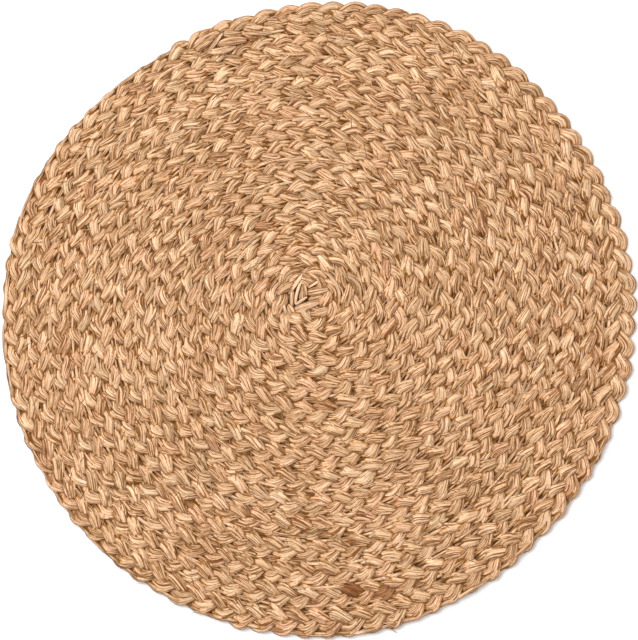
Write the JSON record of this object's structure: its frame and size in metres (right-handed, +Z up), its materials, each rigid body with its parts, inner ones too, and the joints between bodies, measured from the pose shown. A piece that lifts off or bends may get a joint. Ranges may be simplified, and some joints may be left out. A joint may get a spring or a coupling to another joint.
{
  "type": "seagrass placemat",
  "caption": "Round table placemat of one flat seagrass plait, coiled outward from a small knot near the middle and sewn edge to edge, its tapered end tucked in at the rim.",
  "frame": {"origin": "under the middle of the mat's outline, at the height of the table that it lies on", "axes": "+Z up out of the upper face; seen from above, +X is to the picture's right and +Y to its top, and the plait's end is at the upper left"},
  "size_m": [0.3804, 0.3822, 0.006],
  "materials": {
    "dried_seagrass": "dry, slightly waxy plaited grass, tan with pink, green and brown strands"
  },
  "bodies": {
    "root": {"coiled_plait": "dried_seagrass"}
  },
  "joints": []
}
